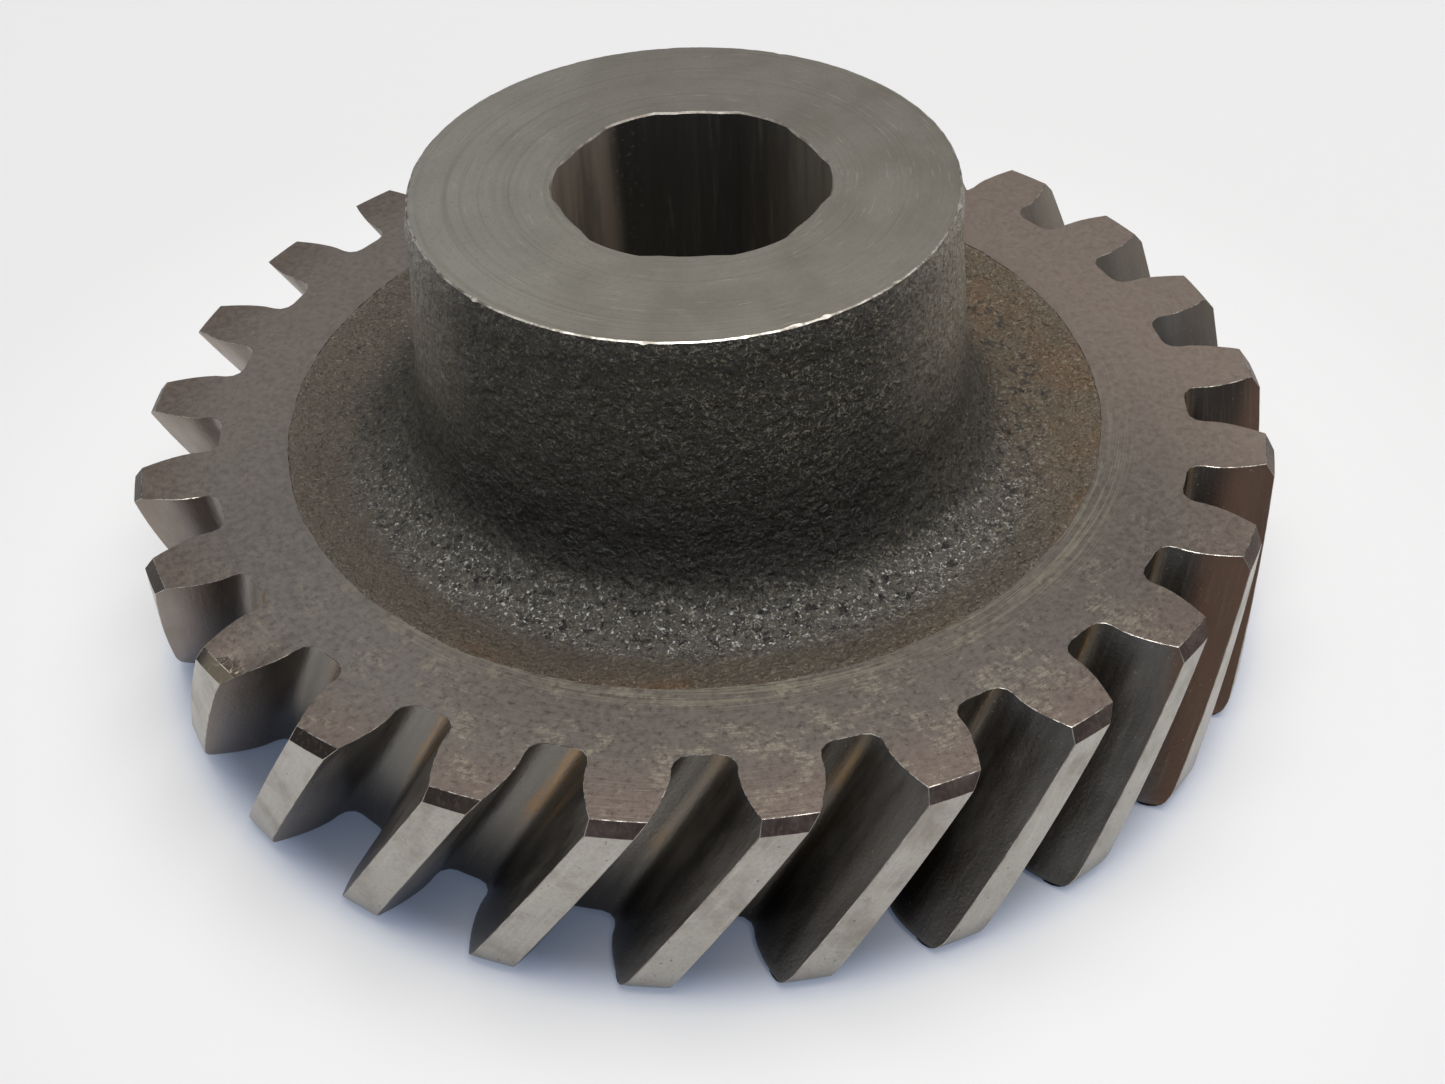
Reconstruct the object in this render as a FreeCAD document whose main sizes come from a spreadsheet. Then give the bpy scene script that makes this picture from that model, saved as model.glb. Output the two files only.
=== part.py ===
import FreeCAD, Part
import math
import os
import Sketcher

# Helical gear with a hexagon bore, cast in one piece and then machined.
# Sizes are in millimetres and degrees. The gear's axis is Z, its flat back is
# at Z = 0 and its hub points up. One flat of the bore faces +X.

SIZES = [
    # Teeth: full depth, 6 diametral pitch in the normal plane, right hand
    ("tooth_count", 25),
    ("normal_module", 4.2333),
    ("helix_angle", 30.0),
    ("pressure_angle", 14.5),
    ("dedendum_factor", 1.25),
    ("face_width", 25.4),
    # Angle from +X to the middle of a tooth, on the rim face
    ("tooth_phase", 4.75),
    ("root_fillet", 1.7),
    ("tip_chamfer_radial", 1.05),
    ("tip_chamfer_axial", 1.35),
    # Web and hub
    ("recess_diameter", 93.7),
    ("web_slope", 16.0),
    ("hub_fillet", 8.0),
    ("hub_draft", 4.5),
    ("hub_diameter", 59.3),
    ("overall_height", 55.0),
    # Bore: a drilled hole, then a hexagon broached through it whose corners stop at a circle
    ("drilled_diameter", 29.0),
    ("hex_across_flats", 28.6),
    ("hex_corner_diameter", 30.1),
    ("bore_edge_chamfer", 0.2),
    # How far a cutter runs past the metal
    ("overrun", 1.0),
]

doc = FreeCAD.newDocument("helical_gear")
sheet = doc.addObject("Spreadsheet::Sheet", "sizes")
for row, (alias, value) in enumerate(SIZES, start=1):
    sheet.set("A%d" % row, alias)
    sheet.set("B%d" % row, str(value))
    sheet.setAlias("B%d" % row, alias)
doc.recompute()
size = {alias: float(sheet.get(alias)) for alias, _ in SIZES}

# Gear geometry that follows from the sizes, in the plane across the axis
HELIX = math.radians(size["helix_angle"])
PITCH_RADIUS = size["tooth_count"] * size["normal_module"] / math.cos(HELIX) / 2
TIP_RADIUS = PITCH_RADIUS + size["normal_module"]
ROOT_RADIUS = PITCH_RADIUS - size["dedendum_factor"] * size["normal_module"]
PRESSURE = math.atan(math.tan(math.radians(size["pressure_angle"])) / math.cos(HELIX))
BASE_RADIUS = PITCH_RADIUS * math.cos(PRESSURE)
TOOTH_ANGLE = 2 * math.pi / size["tooth_count"]
TWIST = math.tan(HELIX) / PITCH_RADIUS
# The flanks are involutes from just above the base circle
INVOLUTE_START = BASE_RADIUS + 0.05 * size["normal_module"]

# Each cut must take away at least this volume of metal, in cubic millimetres
LEAST_CUT = {
    "tooth_space": 500,
    "teeth": 12000,
    "drilled_bore": 30000,
    "hex_broach": 500,
    "bore_edge_break": 2,
}


def vec(radius, angle):
    """Point in the XY plane at a radius and an angle in radians."""
    return FreeCAD.Vector(radius * math.cos(angle), radius * math.sin(angle), 0)


def flat(x, y):
    return FreeCAD.Vector(x, y, 0)


def new_sketch(body, name, plane, lift=0.0, turn=0.0):
    """Sketch on one of the body's own origin planes, lifted and turned about its normal."""
    sketch = body.newObject("Sketcher::SketchObject", name)
    support = [f for f in body.Origin.OriginFeatures if f.Role == plane][0]
    sketch.AttachmentSupport = [(support, "")]
    sketch.MapMode = "FlatFace"
    spin = FreeCAD.Rotation(FreeCAD.Vector(0, 0, 1), turn)
    sketch.AttachmentOffset = FreeCAD.Placement(FreeCAD.Vector(0, 0, lift), spin)
    return sketch


def join(sketch, loop):
    """Tie each curve's end to the next curve's start. A loop item is (curve, start, end)."""
    for here, after in zip(loop, loop[1:] + loop[:1]):
        sketch.addConstraint(Sketcher.Constraint("Coincident", here[0], here[2], after[0], after[1]))


def drive(sketch, kind, args, name, expression):
    """Add a named dimension and bind it to the sheet."""
    index = sketch.addConstraint(Sketcher.Constraint(kind, *args))
    sketch.renameConstraint(index, name)
    sketch.setExpression("Constraints.%s" % name, expression)


def blank_outline(body):
    """Half section of the blank: rim with tip chamfers, dished web, fillet and tapered hub."""
    height = size["overall_height"]
    width = size["face_width"]
    hub = size["hub_diameter"] / 2
    recess = size["recess_diameter"] / 2
    radial = size["tip_chamfer_radial"]
    axial = size["tip_chamfer_axial"]
    slope = math.radians(size["web_slope"])
    draft = math.radians(size["hub_draft"])
    fillet = size["hub_fillet"]

    # Centre of the fillet: its own radius away from both the web line and the hub line
    web_dir = (math.cos(slope), math.sin(slope))
    hub_dir = (math.sin(draft), -math.cos(draft))
    web_base = (recess - fillet * web_dir[1], width + fillet * web_dir[0])
    hub_base = (hub - fillet * hub_dir[1], height + fillet * hub_dir[0])
    run = ((hub_base[0] - web_base[0]) * hub_dir[1] - (hub_base[1] - web_base[1]) * hub_dir[0])
    run = run / (web_dir[0] * hub_dir[1] - web_dir[1] * hub_dir[0])
    centre = (web_base[0] + run * web_dir[0], web_base[1] + run * web_dir[1])
    on_web = (centre[0] + fillet * web_dir[1], centre[1] - fillet * web_dir[0])
    on_hub = (centre[0] + fillet * hub_dir[1], centre[1] - fillet * hub_dir[0])

    sketch = new_sketch(body, "blank_outline", "XZ_Plane")
    corners = [
        (0, 0),
        (TIP_RADIUS - radial, 0),
        (TIP_RADIUS, axial),
        (TIP_RADIUS, width - axial),
        (TIP_RADIUS - radial, width),
        (recess, width),
        on_web,
    ]
    lines = [
        sketch.addGeometry(Part.LineSegment(flat(*a), flat(*b)), False)
        for a, b in zip(corners, corners[1:])
    ]
    back, low_chamfer, rim, top_chamfer, rim_face, web = lines
    start = math.atan2(on_hub[1] - centre[1], on_hub[0] - centre[0])
    end = math.atan2(on_web[1] - centre[1], on_web[0] - centre[0])
    arc = sketch.addGeometry(
        Part.ArcOfCircle(Part.Circle(flat(*centre), FreeCAD.Vector(0, 0, 1), fillet), start, end), False
    )
    flank = sketch.addGeometry(Part.LineSegment(flat(*on_hub), flat(hub, height)), False)
    top = sketch.addGeometry(Part.LineSegment(flat(hub, height), flat(0, height)), False)
    axis = sketch.addGeometry(Part.LineSegment(flat(0, height), flat(0, 0)), False)

    for here, after in zip(lines, lines[1:]):
        sketch.addConstraint(Sketcher.Constraint("Coincident", here, 2, after, 1))
    sketch.addConstraint(Sketcher.Constraint("Tangent", web, 2, arc, 2))
    sketch.addConstraint(Sketcher.Constraint("Tangent", arc, 1, flank, 1))
    for here, after in ((flank, top), (top, axis), (axis, back)):
        sketch.addConstraint(Sketcher.Constraint("Coincident", here, 2, after, 1))
    sketch.addConstraint(Sketcher.Constraint("Coincident", back, 1, -1, 1))
    for line in (back, rim_face, top):
        sketch.addConstraint(Sketcher.Constraint("Horizontal", line))
    for line in (rim, axis):
        sketch.addConstraint(Sketcher.Constraint("Vertical", line))

    tip = "(sizes.tooth_count / cos(sizes.helix_angle * 1 deg) / 2 + 1) * sizes.normal_module * 1 mm"
    drive(sketch, "DistanceX", (-1, 1, rim, 1, TIP_RADIUS), "tip_radius", tip)
    drive(sketch, "DistanceY", (-1, 1, rim_face, 1, width), "face_width", "sizes.face_width * 1 mm")
    for line, name in ((low_chamfer, "low"), (top_chamfer, "top")):
        ends = (1, 2) if name == "low" else (2, 1)
        drive(sketch, "DistanceX", (line, ends[0], line, ends[1], radial),
              name + "_radial", "sizes.tip_chamfer_radial * 1 mm")
        drive(sketch, "DistanceY", (line, 1, line, 2, axial),
              name + "_axial", "sizes.tip_chamfer_axial * 1 mm")
    drive(sketch, "DistanceX", (-1, 1, web, 1, recess), "recess_radius", "sizes.recess_diameter / 2 * 1 mm")
    drive(sketch, "Angle", (-1, web, slope + math.pi), "web_slope", "(sizes.web_slope + 180) * 1 deg")
    drive(sketch, "Radius", (arc, fillet), "hub_fillet", "sizes.hub_fillet * 1 mm")
    drive(sketch, "Angle", (-1, flank, math.pi / 2 + draft), "hub_draft", "(90 + sizes.hub_draft) * 1 deg")
    drive(sketch, "DistanceX", (-1, 1, top, 1, hub), "hub_radius", "sizes.hub_diameter / 2 * 1 mm")
    drive(sketch, "DistanceY", (-1, 1, top, 1, height), "overall_height", "sizes.overall_height * 1 mm")
    return sketch


def involute_half_space(radius):
    """Half angle of a tooth space at a radius on the involute part of the flank."""
    def inv(angle):
        return math.tan(angle) - angle
    spread = inv(math.acos(BASE_RADIUS / radius)) - inv(PRESSURE)
    return TOOTH_ANGLE / 4 + spread


def tooth_space_outline(body):
    """Section of one tooth space across the axis, pointing along X: flanks, root and fillets."""
    rise = size["face_width"] + size["overrun"]
    turn = size["tooth_phase"] + math.degrees(TOOTH_ANGLE / 2 - TWIST * rise)
    sketch = new_sketch(body, "tooth_space_outline", "XY_Plane", lift=-size["overrun"], turn=turn)
    fillet = size["root_fillet"]
    outer = TIP_RADIUS + size["overrun"]
    low = INVOLUTE_START
    middle = (outer + low) / 2
    wall = involute_half_space(low)

    # Below the involute the flank runs straight at the axis, then turns into the root
    centre_radius = ROOT_RADIUS + fillet
    centre_angle = wall - math.asin(fillet / centre_radius)
    foot_radius = centre_radius * math.cos(wall - centre_angle)

    geometry = []
    for side in (1, -1):
        centre = vec(centre_radius, side * centre_angle)
        foot = vec(foot_radius, side * wall)
        floor = vec(ROOT_RADIUS, side * centre_angle)
        bend = centre + (((foot - centre) + (floor - centre)).normalize() * fillet)
        flank = Part.Arc(vec(outer, side * involute_half_space(outer)),
                         vec(middle, side * involute_half_space(middle)), vec(low, side * wall))
        geometry.append([flank, Part.LineSegment(vec(low, side * wall), foot), Part.Arc(foot, bend, floor)])
    root = Part.Arc(vec(ROOT_RADIUS, centre_angle), vec(ROOT_RADIUS, 0), vec(ROOT_RADIUS, -centre_angle))
    mouth = Part.Arc(vec(outer, -involute_half_space(outer)), vec(outer, 0),
                     vec(outer, involute_half_space(outer)))
    curves = geometry[0] + [root] + geometry[1][::-1] + [mouth]
    for curve in curves:
        index = sketch.addGeometry(curve, False)
        sketch.addConstraint(Sketcher.Constraint("Block", index))
    return sketch


def drilled_outline(body):
    sketch = new_sketch(body, "drilled_outline", "XY_Plane")
    radius = size["drilled_diameter"] / 2
    circle = sketch.addGeometry(Part.Circle(flat(0, 0), FreeCAD.Vector(0, 0, 1), radius), False)
    sketch.addConstraint(Sketcher.Constraint("Coincident", circle, 3, -1, 1))
    drive(sketch, "Radius", (circle, radius), "drilled_radius", "sizes.drilled_diameter / 2 * 1 mm")
    return sketch


def hexagon_outline(body):
    """Broach section: six flats joined by six short arcs of the corner circle."""
    sketch = new_sketch(body, "broach_outline", "XY_Plane")
    apothem = size["hex_across_flats"] / 2
    corner = size["hex_corner_diameter"] / 2
    half = math.acos(apothem / corner)
    loop = []
    flats = []
    arcs = []
    for side in range(6):
        middle = side * math.pi / 3
        line = Part.LineSegment(vec(corner, middle - half), vec(corner, middle + half))
        circle = Part.Circle(flat(0, 0), FreeCAD.Vector(0, 0, 1), corner)
        arc = Part.ArcOfCircle(circle, middle + half, middle + math.pi / 3 - half)
        flats.append(sketch.addGeometry(line, False))
        arcs.append(sketch.addGeometry(arc, False))
        loop += [(flats[-1], 1, 2), (arcs[-1], 1, 2)]
    join(sketch, loop)
    for arc in arcs:
        sketch.addConstraint(Sketcher.Constraint("Coincident", arc, 3, -1, 1))
    sketch.addConstraint(Sketcher.Constraint("Vertical", flats[0]))
    for line in flats[1:]:
        sketch.addConstraint(Sketcher.Constraint("Equal", flats[0], line))
    drive(sketch, "Radius", (arcs[0], corner), "corner_radius", "sizes.hex_corner_diameter / 2 * 1 mm")
    drive(sketch, "DistanceX", (-1, 1, flats[0], 1, apothem),
          "half_flats", "sizes.hex_across_flats / 2 * 1 mm")
    return sketch


def volume_after(feature, before):
    """Volume left by a cutting feature, which must have taken its least cut away."""
    doc.recompute()
    removed = before - feature.Shape.Volume
    if removed < LEAST_CUT[feature.Name]:
        raise RuntimeError("%s cut only %.1f mm3" % (feature.Name, removed))
    return feature.Shape.Volume


def through_pocket(body, name, outline):
    """Pocket through the whole body, upwards from its back."""
    doc.recompute()
    pocket = body.newObject("PartDesign::Pocket", name)
    pocket.Profile = outline
    pocket.Type = "ThroughAll"
    pocket.Reversed = True
    return pocket


def bore_edges(solid):
    """Names of the edges where the bore meets the back and the hub's end face."""
    furthest = size["hex_corner_diameter"] / 2 + size["bore_edge_chamfer"]
    names = []
    for index, edge in enumerate(solid.Edges, start=1):
        level = {round(v.Z, 4) for v in edge.Vertexes}
        reach = max(math.hypot(v.X, v.Y) for v in edge.Vertexes)
        if level in ({0.0}, {size["overall_height"]}) and reach < furthest:
            names.append("Edge%d" % index)
    return names


gear = doc.addObject("PartDesign::Body", "helical_gear")
gear.Label = "helical_gear"

profile = blank_outline(gear)
doc.recompute()
blank = gear.newObject("PartDesign::Revolution", "blank")
blank.Profile = profile
blank.ReferenceAxis = (profile, ["V_Axis"])
blank.Angle = 360
doc.recompute()
volume = blank.Shape.Volume

space = tooth_space_outline(gear)
doc.recompute()
first_space = gear.newObject("PartDesign::SubtractiveHelix", "tooth_space")
first_space.Profile = space
first_space.ReferenceAxis = (space, ["N_Axis"])
first_space.Mode = 0
first_space.setExpression(
    "Pitch",
    "pi * sizes.tooth_count * sizes.normal_module / sin(sizes.helix_angle * 1 deg) * 1 mm",
)
first_space.setExpression("Height", "(sizes.face_width + 2 * sizes.overrun) * 1 mm")
first_space.LeftHanded = False
first_space.Refine = False
volume = volume_after(first_space, volume)

teeth = gear.newObject("PartDesign::PolarPattern", "teeth")
teeth.Originals = [first_space]
teeth.Axis = (space, ["N_Axis"])
teeth.Angle = 360
teeth.setExpression("Occurrences", "sizes.tooth_count")
gear.Tip = teeth
volume = volume_after(teeth, volume)

drilled = through_pocket(gear, "drilled_bore", drilled_outline(gear))
volume = volume_after(drilled, volume)

broached = through_pocket(gear, "hex_broach", hexagon_outline(gear))
volume = volume_after(broached, volume)

edge_break = gear.newObject("PartDesign::Chamfer", "bore_edge_break")
edge_break.Base = (broached, bore_edges(broached.Shape))
edge_break.setExpression("Size", "sizes.bore_edge_chamfer * 1 mm")
volume = volume_after(edge_break, volume)

gear.Tip = edge_break
doc.recompute()

for item in doc.Objects:
    if "Invalid" in item.State or "Error" in item.State:
        raise RuntimeError("%s is %s" % (item.Name, item.State))
shape = gear.Shape
if shape.isNull() or not shape.isValid() or len(shape.Solids) != 1:
    raise RuntimeError("the gear is not one valid solid")

os.makedirs("parts", exist_ok=True)
shape.exportStep("parts/helical_gear.step")
box = shape.optimalBoundingBox()
print("box", [round(v, 3) for v in (box.XMin, box.YMin, box.ZMin, box.XMax, box.YMax, box.ZMax)])
print("volume", round(shape.Volume, 1), "faces", len(shape.Faces))
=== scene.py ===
import math

import bpy
import numpy as np
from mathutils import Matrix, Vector, noise


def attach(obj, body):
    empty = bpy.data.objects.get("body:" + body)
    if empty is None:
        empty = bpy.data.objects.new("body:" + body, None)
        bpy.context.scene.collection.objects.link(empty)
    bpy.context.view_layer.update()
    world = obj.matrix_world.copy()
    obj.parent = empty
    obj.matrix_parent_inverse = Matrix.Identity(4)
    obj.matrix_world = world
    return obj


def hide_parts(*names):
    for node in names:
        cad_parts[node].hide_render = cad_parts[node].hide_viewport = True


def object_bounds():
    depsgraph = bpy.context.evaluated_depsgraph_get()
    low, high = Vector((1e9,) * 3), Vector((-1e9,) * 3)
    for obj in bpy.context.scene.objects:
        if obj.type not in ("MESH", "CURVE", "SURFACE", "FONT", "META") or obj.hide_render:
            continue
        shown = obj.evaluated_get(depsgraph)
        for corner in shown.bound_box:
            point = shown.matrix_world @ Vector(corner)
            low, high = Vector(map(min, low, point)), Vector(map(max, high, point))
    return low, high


# The looks of a cast-iron helical gear around its CAD frame. The gear's sizes are in
# millimetres here until its mesh is made, which scales them to metres. Its axis is Z and its
# back is at 0.

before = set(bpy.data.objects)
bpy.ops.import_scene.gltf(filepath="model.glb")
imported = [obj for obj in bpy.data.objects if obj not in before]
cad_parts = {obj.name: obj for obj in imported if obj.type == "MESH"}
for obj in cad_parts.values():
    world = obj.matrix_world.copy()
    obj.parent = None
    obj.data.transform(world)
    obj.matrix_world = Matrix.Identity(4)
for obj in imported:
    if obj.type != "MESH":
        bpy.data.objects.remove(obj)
cad_low, cad_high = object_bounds()
MM = 0.001

# Sizes read from the frame
TIP_RADIUS = (cad_high.x - cad_low.x) / 2 / MM
HEIGHT = cad_high.z / MM

# Teeth
TEETH = 25
FACE_WIDTH = 25.4
HELIX = math.radians(30.0)
NORMAL_PRESSURE = math.radians(14.5)
DEDENDUM_FACTOR = 1.25
NORMAL_MODULE = TIP_RADIUS / (TEETH / math.cos(HELIX) / 2 + 1)
PITCH_RADIUS = TIP_RADIUS - NORMAL_MODULE
ROOT_RADIUS = PITCH_RADIUS - DEDENDUM_FACTOR * NORMAL_MODULE
PRESSURE = math.atan(math.tan(NORMAL_PRESSURE) / math.cos(HELIX))
BASE_RADIUS = PITCH_RADIUS * math.cos(PRESSURE)
TOOTH_ANGLE = 2 * math.pi / TEETH
TOOTH_PHASE = math.radians(4.75)
TWIST = math.tan(HELIX) / PITCH_RADIUS
ROOT_FILLET = 1.7
TIP_CHAMFER_RADIAL = 1.05
TIP_CHAMFER_AXIAL = 1.35

# Web, hub and bore
RECESS_RADIUS = 46.85
WEB_SLOPE = math.radians(16.0)
HUB_FILLET = 8.0
HUB_DRAFT = math.radians(4.5)
HUB_RADIUS = 29.65
DRILLED_RADIUS = 14.5
HEX_APOTHEM = 14.3
HEX_CORNER_RADIUS = 15.05
BORE_CHAMFER = 0.2

# The casting sits a little off the bore's axis, as cast blanks do
HUB_SHIFT = np.array([-0.70, 0.53])
RECESS_SHIFT = np.array([-0.85, 0.44])

# Worn corners: how much of each sharp edge is rubbed away, how far it is rubbed down at the
# top, and how far the recess's edge lies below the rim
EDGE_WEAR = 0.07
EDGE_DROP = 0.04
HUB_EDGE_WEAR = 0.17
HUB_EDGE_DROP = 0.09
RECESS_EDGE_DROP = 0.1
# The back ends of the teeth: the rounding all round them, the height over which their tips are
# rounded further, and how far a tip comes in there
BACK_ROUNDING = 1.0
BACK_TIP_ROUNDING = 2.4
BACK_TIP_DROP = 1.7

# Burrs on one side of every tooth at the rim: the columns they lie between, their depth, and
# how far their noise moves on from one column to the next
BURR_START, BURR_STOP = 3, 9
BURR_DEPTH = 0.25
BURR_STEP = 0.83

# Cast skin: where its noise is read, the size of its features and their height
CAST_GRAIN = [(40, 4.0, 0.16), (0, 1.9, 0.09), (-70, 1.0, 0.10)]
# A slight swell under the hub's machined edge
SWELL_HEIGHT = 0.18
SWELL_PLACE = 2.0
SWELL_WIDTH = 1.6

# Knocks on the hub's edge: angle and width in degrees, how far the rubbed band spreads inwards
# and how far the burr stands out
HUB_KNOCKS = [(198, 0.7, 0.15, 0.20), (218, 0.5, 0.15, -0.10), (235, 0.6, 0.05, 0.22),
              (254, 0.4, 0.10, 0.10), (264, 1.6, 0.20, 0.05), (270.5, 0.8, 0.25, 0.12),
              (288, 0.7, 0.20, -0.15), (319, 0.8, 0.10, 0.22), (172, 0.9, 0.15, 0.15),
              (40, 0.9, 0.25, -0.10)]

# Grid of the gear's skin: columns run round it, and each tooth takes the same number. The
# outline of half a tooth has one point more than its steps, and its involute takes some of
# them, down to just outside the base circle.
HALF_TOOTH_STEPS = 14
COLUMNS_PER_TOOTH = 2 * HALF_TOOTH_STEPS
COLUMNS = TEETH * COLUMNS_PER_TOOTH
INVOLUTE_POINTS = 6
INVOLUTE_LOW = BASE_RADIUS + 0.05 * NORMAL_MODULE
CAST_RINGS = 96
BORE_RINGS = 7
SIDE_RINGS = 8
# A ring lies this far inside the tooth roots on both faces, its columns pulled this far from
# even spacing towards the outline's
ROOT_CIRCLE_DEPTH = 0.9
ROOT_CIRCLE_PULL = 0.6

# Direction in plan of the side that faces the camera, where the metal is most marked
FRONT = math.radians(-116.3)
FRONT_DEG = math.degrees(FRONT)
LEFT_DEG = FRONT_DEG - 90
RIGHT_DEG = FRONT_DEG + 90

# The tooth at the front left whose tip corner is battered: the middle of the blow, its reach,
# and how far it presses the corner down and in
BATTERED_TOOTH = 13
BATTERED_RADIUS = TIP_RADIUS - 1.0
BATTERED_ANGLE = TOOTH_PHASE + BATTERED_TOOTH * TOOTH_ANGLE + math.radians(1.5)
BATTERED_PLACE = [BATTERED_RADIUS * math.cos(BATTERED_ANGLE),
                  BATTERED_RADIUS * math.sin(BATTERED_ANGLE), FACE_WIDTH - 0.2]
BATTERED_REACH = 2.2
BATTERED_DOWN = 0.6
BATTERED_IN = 0.35

# Floor and lights, in metres
FLOOR_REACH = 8
FLOOR_GAP = 0.00005
FLOOR_COLOUR = (0.575, 0.565, 0.555, 1)
GLOW_IN_SHADOW = (0.6, 0.82, 1.3, 1)
GLOW_NEAR = (0.95, 0.97, 1.0, 1)
GLOW_FAR = (1.0, 0.975, 0.95, 1)
ROOM_DIM = (0.26, 0.29, 0.35, 1)
ROOM_BRIGHT = (0.46, 0.46, 0.46, 1)
ROOM_SEEN = (0.82, 0.83, 0.85, 1)
LAMP_TARGET = Vector((0, 0, 0.02))

# Camera, as fitted to the photograph: distance in metres, angles in radians, lens in mm
CAMERA_ELEVATION = math.radians(42.02)
CAMERA_DISTANCE = 0.25226
CAMERA_PAN, CAMERA_TILT, CAMERA_ROLL = 0.0070, 0.0096, -0.0461
CAMERA_LENS = 50.31
CAMERA_SENSOR = 36

SURFACES = ["bore", "hub_face", "hub_edge", "cast", "rim_face", "chamfer", "land", "land_edge",
            "flank", "edge", "back_face"]


# ---------------------------------------------------------------- shape

def involute(angle):
    return math.tan(angle) - angle


def tooth_half_angle(radius):
    """Half angle that a tooth takes up at a radius on its involute."""
    spread = involute(math.acos(BASE_RADIUS / radius)) - involute(PRESSURE)
    return TOOTH_ANGLE / 4 - spread


def half_tooth(tip_radius):
    """Points (radius, angle) from the middle of a tooth's tip to the middle of the root."""
    wall = TOOTH_ANGLE / 2 - tooth_half_angle(INVOLUTE_LOW)
    centre_radius = ROOT_RADIUS + ROOT_FILLET
    centre_angle = wall - math.asin(ROOT_FILLET / centre_radius)
    foot_radius = centre_radius * math.cos(wall - centre_angle)
    tip_angle = tooth_half_angle(tip_radius)
    bevel = EDGE_WEAR / tip_radius

    points = [(tip_radius, 0.0), (tip_radius, tip_angle * 0.5), (tip_radius, tip_angle - bevel)]
    for share in np.linspace(0, 1, INVOLUTE_POINTS):
        radius = (tip_radius - EDGE_WEAR) * (1 - share) + INVOLUTE_LOW * share
        points.append((radius, tooth_half_angle(radius)))
    points.append((foot_radius, TOOTH_ANGLE / 2 - wall))
    # The root fillet turns from pointing across the tooth to pointing at the axis
    turn = math.pi / 2 + (wall - centre_angle)
    for share in (1 / 3, 2 / 3, 1):
        around = (1 - share) * turn
        x = centre_radius - ROOT_FILLET * math.cos(around)
        y = ROOT_FILLET * math.sin(around)
        radius = math.hypot(x, y)
        space_angle = centre_angle + math.atan2(y, x)
        points.append((radius, TOOTH_ANGLE / 2 - space_angle))
    last = TOOTH_ANGLE / 2 - points[-1][1]
    points.append((ROOT_RADIUS, TOOTH_ANGLE / 2 - last * 0.5))
    points.append((ROOT_RADIUS, TOOTH_ANGLE / 2))
    return points


def outline_ring(height, inset):
    """The gear's toothed outline at a height, moved inwards, as xyz points, one for each column."""
    bevel = max(0.0, 1 - (FACE_WIDTH - height) / TIP_CHAMFER_AXIAL)
    rounding = 1 - math.sqrt(1 - max(0.0, 1 - height / BACK_TIP_ROUNDING) ** 2)
    half = half_tooth(TIP_RADIUS - max(TIP_CHAMFER_RADIAL * bevel, BACK_TIP_DROP * rounding))
    whole = half + [(r, TOOTH_ANGLE - a) for r, a in half[-2:0:-1]]
    radii = np.tile([r for r, _ in whole], TEETH)
    turns = np.repeat(np.arange(TEETH) * TOOTH_ANGLE, COLUMNS_PER_TOOTH)
    angles = np.tile([a for _, a in whole], TEETH) + turns
    angles += TOOTH_PHASE + TWIST * (height - FACE_WIDTH)
    ring = np.stack([radii * np.cos(angles), radii * np.sin(angles), np.full(COLUMNS, height)], 1)
    along = np.roll(ring, -1, 0) - np.roll(ring, 1, 0)
    inward = np.stack([-along[:, 1], along[:, 0], np.zeros(COLUMNS)], 1)
    return ring + inward * (inset / np.linalg.norm(inward, axis=1))[:, None]


def burred_inset():
    """How far the rim's edge is rubbed back at each column: unevenly on one side of every tooth."""
    place = np.arange(COLUMNS) % COLUMNS_PER_TOOTH
    burred = (place > BURR_START) & (place < BURR_STOP)
    chips = np.abs(field(np.stack([np.arange(COLUMNS) * BURR_STEP] * 3, 1), 1.0))
    return EDGE_WEAR + np.where(burred, BURR_DEPTH * chips, 0.0)


def even_angles():
    return TOOTH_PHASE + np.arange(COLUMNS) * 2 * math.pi / COLUMNS


def bore_angles():
    """Even angles, with the nearest column moved onto each corner of the bore's outline."""
    angles = even_angles()
    flat_start = math.acos(HEX_APOTHEM / DRILLED_RADIUS)
    flat_end = math.acos(HEX_APOTHEM / HEX_CORNER_RADIUS)
    for side in range(6):
        for from_middle in (-flat_end, -flat_start, flat_start, flat_end):
            corner = side * math.pi / 3 + from_middle
            away = (corner - angles + math.pi) % (2 * math.pi) - math.pi
            nearest = np.argmin(np.abs(away))
            angles[nearest] += away[nearest]
    return angles


def bore_ring(height, grow=0.0):
    angles = bore_angles()
    from_flat = (angles + math.pi / 6) % (math.pi / 3) - math.pi / 6
    radii = np.clip(HEX_APOTHEM / np.cos(from_flat), DRILLED_RADIUS, HEX_CORNER_RADIUS) + grow
    return np.stack([radii * np.cos(angles), radii * np.sin(angles), np.full(COLUMNS, height)], 1)


def circle_ring(radius, height, shift):
    angles = even_angles()
    ring = np.stack([radius * np.cos(angles), radius * np.sin(angles), np.full(COLUMNS, height)], 1)
    ring[:, :2] += shift
    return ring


def root_circle(outline, height, depth):
    """A circle just inside the tooth roots, its columns part way between even and the outline's."""
    angles = even_angles() + TWIST * (height - FACE_WIDTH)
    away = (np.arctan2(outline[:, 1], outline[:, 0]) - angles + math.pi) % (2 * math.pi) - math.pi
    angles += away * ROOT_CIRCLE_PULL
    radius = ROOT_RADIUS - depth
    return np.stack([radius * np.cos(angles), radius * np.sin(angles), np.full(COLUMNS, height)], 1)


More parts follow.
